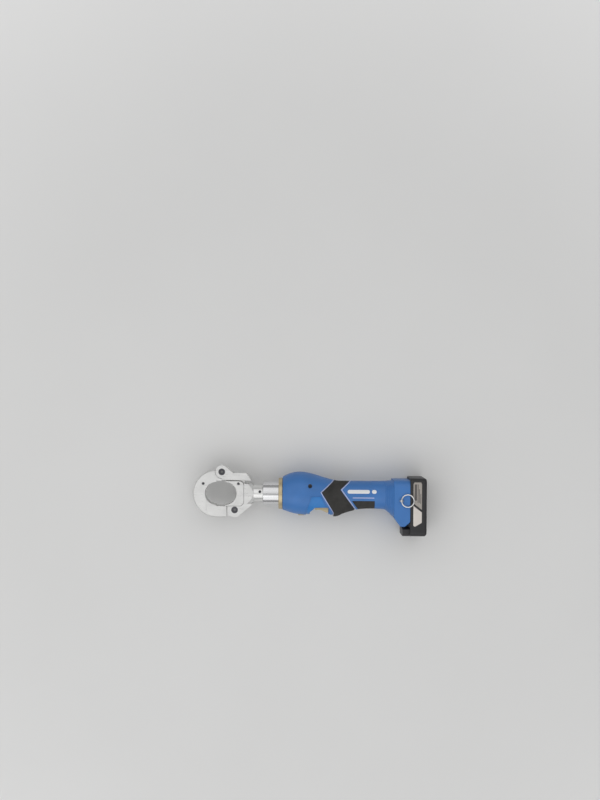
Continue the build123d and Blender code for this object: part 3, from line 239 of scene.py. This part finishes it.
def floor_material(name, colour, tone, fade_start, fade_end):
    """Pale floor that runs out to plain white away from the object, so that no horizon shows."""
    mat, tree, shader = new_material(name, colour, roughness=0.9)
    low = tuple(c - tone for c in colour)
    high = tuple(c + tone for c in colour)
    vary_colour(tree, shader, noise(tree, scale=3.0), low, high)
    coord = tree.nodes.new("ShaderNodeTexCoord")
    length = tree.nodes.new("ShaderNodeVectorMath")
    length.operation = "LENGTH"
    tree.links.new(coord.outputs["Object"], length.inputs[0])
    away = range_node(tree, length.outputs["Value"], fade_start, fade_end)
    rays = tree.nodes.new("ShaderNodeLightPath")
    glossy = rays.outputs["Is Glossy Ray"]
    through = rays.outputs["Is Transmission Ray"]
    sharp = math_node(tree, "MAXIMUM", glossy, through)
    seen = math_node(tree, "MAXIMUM", rays.outputs["Is Camera Ray"], sharp)
    glow = tree.nodes.new("ShaderNodeEmission")
    glow.inputs["Color"].default_value = (1.0, 1.0, 1.0, 1.0)
    mix = tree.nodes.new("ShaderNodeMixShader")
    tree.links.new(math_node(tree, "MULTIPLY", away, seen), mix.inputs["Fac"])
    tree.links.new(shader.outputs["BSDF"], mix.inputs[1])
    tree.links.new(glow.outputs["Emission"], mix.inputs[2])
    tree.links.new(mix.outputs["Shader"], tree.nodes["Material Output"].inputs["Surface"])
    return mat


FLOOR = floor_material("pale_floor", (0.70, 0.70, 0.695), tone=0.008, fade_start=0.5, fade_end=2.2)

BY_SLOT = {
    "steel": STEEL, "chrome": CHROME, "dark_steel": DARK_STEEL, "gold": GOLD, "blue": BLUE,
    "rubber": RUBBER, "tan": TAN, "black": BLACK, "seal": SEAL, "alloy": ALLOY, "motor": ZINC,
    "magnet": FERRITE, "copper": COPPER, "board": BOARD, "cell": SLEEVE, "frame": FRAME,
}
BY_NODE = {"strap_ring": BRIGHT, "strap_eye": BRIGHT}
slots = {part["node"]: part["material_slot"] for part in frame["record"]["subparts"]}
for name, obj in nodes.items():
    obj.data.materials.clear()
    obj.data.materials.append(BY_NODE.get(name, BY_SLOT[slots[name]]))


# Ways to make a piece
CREASE_ANGLE = math.radians(50.0)


def add_mesh(name, verts, faces, mat, body, smooth=False, crease=False):
    """Closed piece with its faces turned outward; a creased one is smooth up to its sharp rims."""
    mesh = bpy.data.meshes.new(name)
    mesh.from_pydata([tuple(v) for v in verts], [], faces)
    skin = bmesh.new()
    skin.from_mesh(mesh)
    bmesh.ops.recalc_face_normals(skin, faces=skin.faces)
    skin.to_mesh(mesh)
    skin.free()
    mesh.update()
    obj = bpy.data.objects.new(name, mesh)
    scene.collection.objects.link(obj)
    mesh.materials.append(mat)
    if smooth or crease:
        for poly in mesh.polygons:
            poly.use_smooth = True
    if crease:
        mesh.set_sharp_from_angle(angle=CREASE_ANGLE)
    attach(obj, body)
    return obj


def surface(name):
    mesh = nodes[name].data
    corners = [v.co for v in mesh.vertices]
    return BVHTree.FromPolygons(corners, [tuple(p.vertices) for p in mesh.polygons])


def prism(name, outline, low, high, mat, body):
    """Flat plate over an outline along the tool, between two heights across it."""
    count = len(outline)
    verts = [at(x, y, low) for x, y in outline] + [at(x, y, high) for x, y in outline]
    faces = [tuple(reversed(range(count))), tuple(range(count, 2 * count))]
    for i in range(count):
        j = (i + 1) % count
        faces.append((i, j, count + j, count + i))
    return add_mesh(name, verts, faces, mat, body)


def slab_faces(rows, columns):
    """Faces of a closed slab: an upper grid of points, a lower one after it, and its rim."""
    width = columns + 1
    base = (rows + 1) * width
    faces = []
    for i in range(rows):
        for j in range(columns):
            q = (i * width + j, (i + 1) * width + j, (i + 1) * width + j + 1, i * width + j + 1)
            faces.append(q)
            faces.append(tuple(base + k for k in reversed(q)))
    rim = [i * width for i in range(rows + 1)]
    rim += [rows * width + j for j in range(1, columns + 1)]
    rim += [i * width + columns for i in reversed(range(rows))]
    rim += list(reversed(range(1, columns)))
    for k, here in enumerate(rim):
        after = rim[(k + 1) % len(rim)]
        faces.append((after, here, base + here, base + after))
    return faces


def tube(name, spots, radii, mat, body, sides=10):
    """Bar swept along points with their normals; its radii run across and along the normal."""
    wide, tall = radii
    last = len(spots) - 1
    verts = []
    for i, (point, normal) in enumerate(spots):
        tangent = (spots[min(i + 1, last)][0] - spots[max(i - 1, 0)][0]).normalized()
        across = tangent.cross(normal).normalized()
        lift = across.cross(tangent)
        for k in range(sides):
            turn = FULL_TURN * k / sides
            spoke = across * wide * math.cos(turn) + lift * tall * math.sin(turn)
            verts.append(point + spoke * MM)
    faces = []
    for i in range(last):
        here = i * sides
        after = here + sides
        for k in range(sides):
            m = (k + 1) % sides
            faces.append((here + k, here + m, after + m, after + k))
    faces.append(tuple(range(sides)))
    faces.append(tuple(last * sides + k for k in reversed(range(sides))))
    return add_mesh(name, verts, faces, mat, body, smooth=True)


def cast(tree, x, y, side):
    """Point and outward normal of a shell's flank over a place along the tool, or None."""
    hit, normal, _, _ = tree.ray_cast(at(x, y, side * OUTSIDE), Vector((0.0, 0.0, -side)))
    if hit is None:
        return None
    if normal.z * side < 0.0:
        normal = -normal
    return hit, normal


def inward(tree, start, end, z):
    """Point and outward normal where a line at one height meets a shell, or None."""
    origin = at(*start, z)
    hit, normal, _, _ = tree.ray_cast(origin, (at(*end, z) - origin).normalized())
    if hit is None:
        return None
    if normal.dot(origin - hit) < 0.0:
        normal = -normal
    return hit, normal


shells = {LEFT: surface("left_shell"), RIGHT: surface("right_shell")}

# Beads along the chevron grips, in a pale lavender that paints the highlight of their lit edges,
# and ridges at the flare of the foot
HOUSING_X = -47.6
HOUSING = 226.2
FRONT_LINE = ((0.479, 40.0, -1.0), (0.307, 4.3, -1.2), (0.406, -33.0, -1.0), (0.400, -60.0, -1.0))
REAR_LINE = ((0.608, 40.0, 1.5), (0.456, 9.0, 1.7), (0.570, -26.5, 1.5), (0.502, -60.0, 1.5))
FRONT_RADIUS = 0.9
FRONT_SINK = 0.5
REAR_RADIUS = 1.15
REAR_SINK = 0.7
RIDGES = (138.2, 141.4, 144.6)
RIDGE_TOP = 18.0
RIDGE_FOOT = -28.0
RIDGE_RADIUS = 0.85
RIDGE_SINK = 0.25
BEAD_PITCH = 1.0
BEAD_LOWEST = 8.0
RISE_START = 0.02
RISE_STEPS = 8


def station(share, y, shift):
    """Place on the housing at a share of its length, shifted along the tool."""
    return (HOUSING_X + HOUSING * share + shift, y)


def bead(name, side, line, radius, sink, mat):
    """Rounded line moulded on a flank along a path, closed to the parting plane at its ends."""
    tree = shells[side]
    found = []
    for (xa, ya), (xb, yb) in zip(line, line[1:]):
        steps = max(2, int(math.hypot(xb - xa, yb - ya) / BEAD_PITCH))
        for i in range(steps):
            share = i / steps
            spot = cast(tree, xa + (xb - xa) * share, ya + (yb - ya) * share, side)
            if spot is not None and side * (spot[0].z / MM - MID_Z) >= BEAD_LOWEST:
                found.append(spot)
    rise = [RISE_START + BEAD_LOWEST * k / RISE_STEPS for k in range(RISE_STEPS)]
    crest = [inward(tree, line[0], line[1], side * z) for z in rise]
    keel = [inward(tree, line[-1], line[-2], side * z) for z in reversed(rise)]
    found = [spot for spot in crest + found + keel if spot is not None]
    spots = [(hit - normal * sink * MM, normal) for hit, normal in found]
    return tube(name, spots, (radius, radius), mat, "body")


for side, word in SIDES:
    front = [station(*spot) for spot in FRONT_LINE]
    rear = [station(*spot) for spot in REAR_LINE]
    bead(f"{word}_front_edge", side, front, FRONT_RADIUS, FRONT_SINK, PAINTED_EDGE_HIGHLIGHT)
    bead(f"{word}_rear_edge", side, rear, REAR_RADIUS, REAR_SINK, PAINTED_EDGE_HIGHLIGHT)
    for number, x in enumerate(RIDGES):
        ridge = [(x, RIDGE_TOP), (x, RIDGE_FOOT)]
        bead(f"{word}_flare_ridge_{number}", side, ridge, RIDGE_RADIUS, RIDGE_SINK, BLUE)

# Smooth panels on the floor of the scoop: over the trigger, and ahead of it to the parting plane;
# their lighter blue is painted light
NOTCH_X = 9.99
NOTCH_TOP = -23.4
NOTCH_FOOT = -32.4
NOTCH_MARGIN = 0.6
SCOOP_TOP = -2.0
SCOOP_FRONT = 5.5
SCOOP_FRONT_SLANT = 9.4
SCOOP_FRONT_DROP = 28.0
SCOOP_BACK = 10.1
SCOOP_BACK_SLANT = 16.5
SCOOP_BACK_DROP = 34.0
PANEL_TOP = -3.2
PANEL_TURN = -22.7
PANEL_CORNER = 6.0
PANEL_MIDDLE = 13.0
PANEL_KEEL = math.radians(89.9)
PANEL_PROUD = 0.14
PANEL_SUNK = 0.3
OVER_ROWS = 14
OVER_COLUMNS = 24
AHEAD_ROWS = 24
AHEAD_COLUMNS = 9


def scoop_front(y):
    """Front edge of the panels, just inside the slanted front wall of the scoop."""
    drop = min(1.0, max(0.0, (SCOOP_TOP - y) / SCOOP_FRONT_DROP))
    return NOTCH_X - SCOOP_FRONT - SCOOP_FRONT_SLANT * drop


def scoop_back(y):
    """Back edge of the panel over the trigger, just inside the back wall of the scoop."""
    return NOTCH_X + SCOOP_BACK + SCOOP_BACK_SLANT * (SCOOP_TOP - y) / SCOOP_BACK_DROP


def notch_front(y):
    """Back edge of the panel ahead of the trigger, along the front wall of the notch."""
    return NOTCH_X - NOTCH_MARGIN + max(NOTCH_FOOT, min(NOTCH_TOP, y)) - NOTCH_TOP


def spread_out(left, right, columns):
    return [left + (right - left) * j / columns for j in range(columns + 1)]


def round_spot(tree, x, turn, side):
    """Point of a shell at an angle from the flank towards the keel, with the way out."""
    out = Vector((0.0, -math.sin(turn), side * math.cos(turn)))
    return tree.ray_cast(at(x, 0.0) + out * OUTSIDE * MM, -out)[0], out


def panel(name, grid):
    """Thin slab over rows of points of a shell, each with the way out."""
    top = [hit + out * PANEL_PROUD * MM for row in grid for hit, out in row]
    low = [hit - out * PANEL_SUNK * MM for row in grid for hit, out in row]
    faces = slab_faces(len(grid) - 1, len(grid[0]) - 1)
    return add_mesh(name, top + low, faces, PAINTED_LIGHT_SCOOP_BLUE, "body", crease=True)


for side, word in SIDES:
    tree = shells[side]
    flank = Vector((0.0, 0.0, side))
    over = []
    for k in range(OVER_ROWS + 1):
        y = PANEL_TOP + (PANEL_TURN - PANEL_TOP) * k / OVER_ROWS
        row = spread_out(scoop_front(y), scoop_back(y), OVER_COLUMNS)
        over.append([(cast(tree, x, y, side)[0], flank) for x in row])
    panel(f"{word}_scoop_panel", over)
    corner = cast(tree, NOTCH_X - PANEL_CORNER, PANEL_TURN, side)[0] / MM
    first = math.atan2(-PANEL_TURN, side * (corner.z - MID_Z))
    ahead = [over[-1][:AHEAD_COLUMNS + 1]]
    for k in range(1, AHEAD_ROWS + 1):
        turn = first + (PANEL_KEEL - first) * k / AHEAD_ROWS
        y = round_spot(tree, NOTCH_X - PANEL_MIDDLE, turn, side)[0].y / MM - AXIS_Y
        row = spread_out(scoop_front(y), notch_front(y), AHEAD_COLUMNS)
        ahead.append([round_spot(tree, x, turn, side) for x in row])
    panel(f"{word}_scoop_front", ahead)

# Parting line of the two halves, over the top and under the handle
SEAM_PITCH = 1.5
SEAM_Z = 0.05
SEAM_SINK = 0.15
SEAM_RADII = (0.24, 0.2)
SEAM_INSET = 0.6
SEAM_FRONT = HOUSING_X + SEAM_INSET
skins = [*shells.values(), surface("left_grip"), surface("left_pad")]


def seam(name, start, end, way):
    """Thin dark line on the outermost skin, above the tool axis or below it."""
    steps = int((end - start) / SEAM_PITCH)
    spots = []
    for k in range(steps + 1):
        x = start + (end - start) * k / steps
        best = None
        for tree in skins:
            spot = inward(tree, (x, way * OUTSIDE), (x, 0.0), SEAM_Z)
            if spot is not None and (best is None or way * spot[0].y > way * best[0].y):
                best = spot
        if best is not None:
            hit, normal = best
            spots.append((hit - normal * SEAM_SINK * MM, normal))
    return tube(name, spots, SEAM_RADII, SEAM, "body", sides=6)


seam("seam_top", start=SEAM_FRONT, end=176.0, way=1.0)
seam("seam_under_front", start=SEAM_FRONT, end=-20.6, way=-1.0)
seam("seam_under_rear", start=37.8, end=150.0, way=-1.0)

# Plain stripes on the handle
DECAL_PROUD = 0.12
DECAL_SUNK = 0.25
DECAL_ROWS = 6
LEAST_REACH_SQUARED = 0.04


def decal(name, x0, x1, y0, y1, mat, steps=48):
    """Thin round-ended bar that follows the left flank."""
    half = (y1 - y0) / 2
    middle = (y0 + y1) / 2
    top = []
    low = []
    for i in range(steps + 1):
        x = x0 + (x1 - x0) * i / steps
        edge = min(x - x0, x1 - x)
        reach = half
        if edge < half:
            reach = math.sqrt(max(LEAST_REACH_SQUARED, half * half - (half - edge) ** 2))
        for j in range(DECAL_ROWS + 1):
            hit, normal = cast(shells[LEFT], x, middle + reach * (2.0 * j / DECAL_ROWS - 1.0), LEFT)
            top.append(hit + normal * DECAL_PROUD * MM)
            low.append(hit - normal * DECAL_SUNK * MM)
    return add_mesh(name, top + low, slab_faces(steps, DECAL_ROWS), mat, "body", crease=True)


decal("handle_stripe", x0=68.0, x1=108.0, y0=2.2, y1=8.8, mat=PALE)
decal("handle_stripe_short", x0=111.5, x1=120.0, y0=2.2, y1=8.8, mat=PALE, steps=16)
# The thin line just above the pad is a painted highlight, in the same pale colour as the grip
# edges.
decal("handle_stripe_thin", x0=77.0, x1=116.0, y0=-6.2, y1=-4.6, mat=PAINTED_EDGE_HIGHLIGHT)

# Battery label: a grey field with plain bars over a bright block
FLANK = 37.5
LABEL_SUNK = 0.1
FIELD_PROUD = 0.2
BLOCK_PROUD = 0.25
BAR_PROUD = 0.26
FIELD_OUTLINE = (
    (186.0, 24.0), (197.6, 24.0), (199.2, 21.0), (199.2, -24.5), (184.2, -13.0), (184.2, 21.0),
)
BLOCK_OUTLINE = (
    (184.2, -17.5), (199.2, -29.0), (199.2, -47.4), (187.6, -54.2), (185.6, -54.0), (184.2, -51.8),
)
BARS = (
    (186.2, 190.4, -8.0, 20.5),
    (191.8, 193.0, -12.0, 20.5),
    (194.2, 195.4, -12.0, 12.0),
    (196.6, 197.6, -14.0, 4.0),
)
under = FLANK - LABEL_SUNK
prism("battery_label", FIELD_OUTLINE, under, FLANK + FIELD_PROUD, LABEL, "battery")
prism("battery_label_block", BLOCK_OUTLINE, under, FLANK + BLOCK_PROUD, LABEL_BRIGHT, "battery")
for number, (x0, x1, y0, y1) in enumerate(BARS):
    bar = [(x0, y0), (x1, y0), (x1, y1), (x0, y1)]
    prism(f"battery_label_bar_{number}", bar, FLANK, FLANK + BAR_PROUD, LABEL_DARK, "battery")

# Floors of the hexagon sockets in the two pins of the head: bare metal plates in a darker grey than
# bare steel, painted shade down in the sockets
SOCKET_DEPTH = 2.5
SOCKET_RADIUS = 2.4
SOCKET_UNDER = 0.2
SOCKET_RISE = 0.5
HEXAGON = [k * math.pi / 3.0 for k in range(6)]
for node, body in (("hinge_pin", "head"), ("latch_pin", "latch")):
    pin_low, pin_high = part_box(node)
    x = (pin_low[0] + pin_high[0]) / 2 / MM
    y = (pin_low[1] + pin_high[1]) / 2 / MM - AXIS_Y
    floor_z = pin_high[2] / MM - MID_Z - SOCKET_DEPTH
    core = []
    for turn in HEXAGON:
        core.append((x + SOCKET_RADIUS * math.cos(turn), y + SOCKET_RADIUS * math.sin(turn)))
    prism(f"{node}_socket", core, floor_z - SOCKET_UNDER, floor_z + SOCKET_RISE, PAINTED_SHADE_SOCKET, body)

# Star recesses of the housing screws: thin black star plates at the screw heads, painted shade
# standing in for the hollow of each recess
SCREWS = ((1.19, 15.5, LEFT), (1.19, 15.5, RIGHT), (153.6, 16.0, RIGHT), (153.6, -36.0, RIGHT))
STAR_STEPS = 48
STAR_LOBES = 6.0
STAR_RADIUS = 1.75
STAR_WAVE = 0.35
STAR_INNER_Z = 29.3
STAR_OUTER_Z = 29.44
for number, (x, y, side) in enumerate(SCREWS):
    star = []
    for k in range(STAR_STEPS):
        turn = FULL_TURN * k / STAR_STEPS
        reach = STAR_RADIUS + STAR_WAVE * math.cos(STAR_LOBES * turn)
        star.append((x + reach * math.cos(turn), y + reach * math.sin(turn)))
    low, high = sorted((side * STAR_INNER_Z, side * STAR_OUTER_Z))
    prism(f"screw_star_{number}", star, low, high, PAINTED_RECESS_SHADE, "body")

# Split ring: two flat turns of wire in place of the plain ring
RING_RADIUS = 11.0
RING_STEPS = 72
RING_LIFT = 0.52
RING_RAMP = 7.0
RING_WIRE = (1.0, 0.5)
ring_low, ring_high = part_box("strap_ring")
ring_middle = (Vector(ring_low) + Vector(ring_high)) / 2
turns = []
for k in range(2 * RING_STEPS + 1):
    angle = FULL_TURN * k / RING_STEPS
    lift = RING_LIFT * max(-1.0, min(1.0, (k - RING_STEPS) / RING_RAMP))
    spoke = Vector((RING_RADIUS * math.cos(angle), RING_RADIUS * math.sin(angle), lift))
    turns.append((ring_middle + spoke * MM, Vector((0.0, 0.0, 1.0))))
split_ring = tube("split_ring", turns, RING_WIRE, BRIGHT, "ring")
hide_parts("strap_ring")

# Return spring with closed end turns, in place of the plain spring and at its length in the part
# file; in the tool the piston squeezes it as the ram goes forward
SPRING_WIRE = 1.2
CLOSED_TURNS = 0.75
OPEN_TURNS = 4.0
SPRING_STEPS = 40
spring_low, spring_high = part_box("return_spring")
spring_span = (spring_high[0] - spring_low[0]) / MM
spring_radius = (spring_high[1] - spring_low[1]) / 2 / MM - SPRING_WIRE
spring_turns = 2.0 * CLOSED_TURNS + OPEN_TURNS
closed_rise = CLOSED_TURNS * 2.0 * SPRING_WIRE
open_rise = spring_span - 2.0 * SPRING_WIRE - 2.0 * closed_rise
wire = []
for k in range(int(SPRING_STEPS * spring_turns) + 1):
    turn = k / SPRING_STEPS
    opened = min(max(turn - CLOSED_TURNS, 0.0), OPEN_TURNS)
    along = SPRING_WIRE + (turn - opened) * 2.0 * SPRING_WIRE + opened / OPEN_TURNS * open_rise
    angle = FULL_TURN * turn
    out = Vector((0.0, math.cos(angle), math.sin(angle)))
    middle = at(0.0, 0.0) + Vector((spring_low[0] + along * MM, 0.0, 0.0))
    wire.append((middle + out * spring_radius * MM, out))
coil_spring = tube("coil_spring", wire, (SPRING_WIRE, SPRING_WIRE), ZINC, "head", sides=12)
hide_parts("return_spring")
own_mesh(coil_spring)

# Floor
FLOOR_SIZE = 14.0
FLOOR_Z = -0.0002
bpy.ops.mesh.primitive_plane_add(size=FLOOR_SIZE, location=(0.0, 0.0, FLOOR_Z))
floor = bpy.context.object
floor.name = "floor"
floor.data.materials.append(FLOOR)

# Soft dome: white to the camera; for the object it is brighter at its crown, has a narrow dim band
# overhead and falls off towards the horizon
BAND_Y = 0.07
DIFFUSE_DOME = 0.76
GLOSSY_DOME = 0.70
world = bpy.data.worlds.new("studio")
scene.world = world
world.use_nodes = True
sky = world.node_tree
backing = sky.nodes["Background"]
backing.inputs["Color"].default_value = (1.0, 1.0, 1.0, 1.0)
path = sky.nodes.new("ShaderNodeLightPath")
aim = sky.nodes.new("ShaderNodeTexCoord")
split = sky.nodes.new("ShaderNodeSeparateXYZ")
sky.links.new(aim.outputs["Generated"], split.inputs["Vector"])
off_band = math_node(sky, "ABSOLUTE", math_node(sky, "ADD", split.outputs["Y"], BAND_Y))
band = range_node(sky, off_band, start=0.035, end=0.095, low=0.25, high=1.0)
fall = range_node(sky, split.outputs["Z"], start=0.25, end=0.65, low=0.45, high=1.0)
crown = range_node(sky, split.outputs["Z"], start=0.90, end=0.985, low=1.0, high=1.3)
dome = math_node(sky, "MULTIPLY", math_node(sky, "MULTIPLY", band, fall), crown)
glossy = path.outputs["Is Glossy Ray"]
level = range_node(sky, glossy, start=0.0, end=1.0, low=DIFFUSE_DOME, high=GLOSSY_DOME)
shiny = math_node(sky, "MULTIPLY", dome, level)
seen = math_node(sky, "MAXIMUM", path.outputs["Is Camera Ray"], path.outputs["Is Transmission Ray"])
sky.links.new(math_node(sky, "MAXIMUM", shiny, seen), backing.inputs["Strength"])

# Lamps
LAMP_TARGET = Vector((0.0, 0.0, 0.0))


def softbox(name, place, size_x, size_y, power):
    """Large soft lamp that faces the object."""
    lamp = bpy.data.lights.new(name, "AREA")
    lamp.shape = "RECTANGLE"
    lamp.size = size_x
    lamp.size_y = size_y
    lamp.energy = power
    obj = bpy.data.objects.new(name, lamp)
    scene.collection.objects.link(obj)
    obj.location = place
    obj.rotation_mode = "QUATERNION"
    obj.rotation_quaternion = (LAMP_TARGET - Vector(place)).to_track_quat("-Z", "Y")


softbox("strip_far", (0.0, 1.40, 1.80), size_x=3.6, size_y=1.5, power=5.0)
softbox("strip_near", (0.0, -1.60, 1.80), size_x=4.2, size_y=2.0, power=12.0)
softbox("key_left", (-1.6, -0.8, 1.9), size_x=2.8, size_y=2.8, power=10.0)

# Camera looking straight down, as far away as makes a picture point 1.8 mm at the tool's middle
FRAME_HEIGHT = 800.0
FOCAL_POINTS = 1230.0
POINT_MM = 1.8
SENSOR_MM = 36.0
CAMERA_X = -16.65
CAMERA_UP = 0.1682
ROLL = math.radians(0.477)
UP = Vector((-math.sin(ROLL), math.cos(ROLL), 0.0))
lens = bpy.data.cameras.new("camera")
camera = bpy.data.objects.new("camera", lens)
scene.collection.objects.link(camera)
lens.sensor_width = SENSOR_MM
lens.lens = FOCAL_POINTS / FRAME_HEIGHT * SENSOR_MM
lens.clip_start = 0.05
lens.clip_end = 50.0
camera_height = Vector((0.0, 0.0, FOCAL_POINTS * POINT_MM * MM))
camera.location = at(CAMERA_X, 0.0) + UP * CAMERA_UP + camera_height
camera.rotation_euler = (0.0, 0.0, ROLL)
scene.camera = camera
scene.view_settings.view_transform = "Standard"
